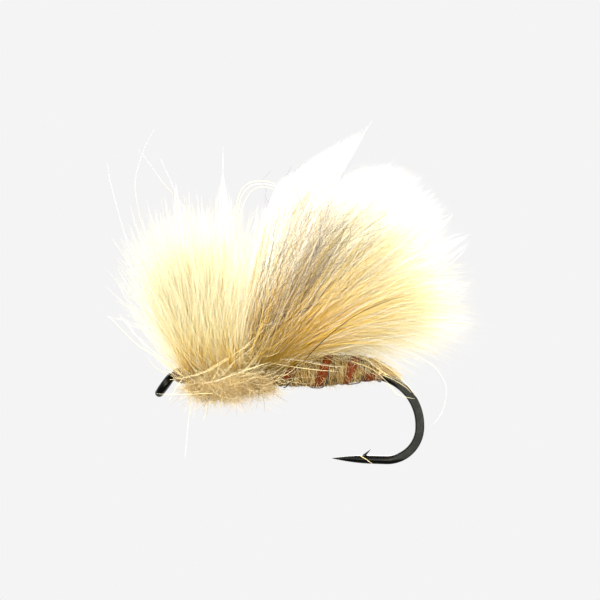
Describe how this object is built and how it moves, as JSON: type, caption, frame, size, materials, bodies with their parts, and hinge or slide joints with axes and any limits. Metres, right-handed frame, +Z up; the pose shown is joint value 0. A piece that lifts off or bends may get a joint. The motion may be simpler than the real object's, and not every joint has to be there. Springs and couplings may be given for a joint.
{
  "type": "dry fishing fly",
  "caption": "Winged dry fly for trout fishing: a barbed, down-eyed hook with a ribbed fur body, cream soft hackle before and behind a kinky fur wing, and a thread head.",
  "frame": {"origin": "centre of the hook's eye", "axes": "+X along the shank from the eye towards the bend, +Z up with the hook's point below the shank, +Y the fly's right-hand side as it faces -X"},
  "size_m": [0.0251, 0.0094, 0.0235],
  "materials": {
    "hook_wire": "black bronzed steel wire, glossy",
    "thread": "waxed brown tying thread",
    "tan_fur": "tan fur, spun and wound, with short loose hairs",
    "floss": "flat russet floss with a slight sheen",
    "rib_wire": "fine blue-grey wire",
    "quill": "smooth pale quill",
    "cream_hackle": "soft hackle fibres, golden at the root and cream at the tip",
    "pale_fibre": "near-white translucent fibres",
    "wing_fur": "kinky grey and tan underfur",
    "dark_hair": "smooth dark guard hair",
    "varnish": "clear head cement"
  },
  "bodies": {
    "root": {"hook": "hook_wire", "thread_base": "thread", "tail_wraps": "thread", "abdomen_fur": "tan_fur", "floss_rib": "floss", "wire_rib": "rib_wire", "body_tie_off_wraps": "thread", "rear_hackle_quill": "quill", "rear_hackle_fibres": "cream_hackle", "wing_wraps": "thread", "wing_fur": "wing_fur", "overwing_fibres": "pale_fibre", "thorax_dubbing": "tan_fur", "front_hackle_wraps": "thread", "front_hackle_quill": "quill", "front_hackle_fibres": "cream_hackle", "collar_dubbing": "tan_fur", "dark_guard_hair": "dark_hair", "head_wraps": "thread", "head_varnish": "varnish"}
  },
  "joints": []
}
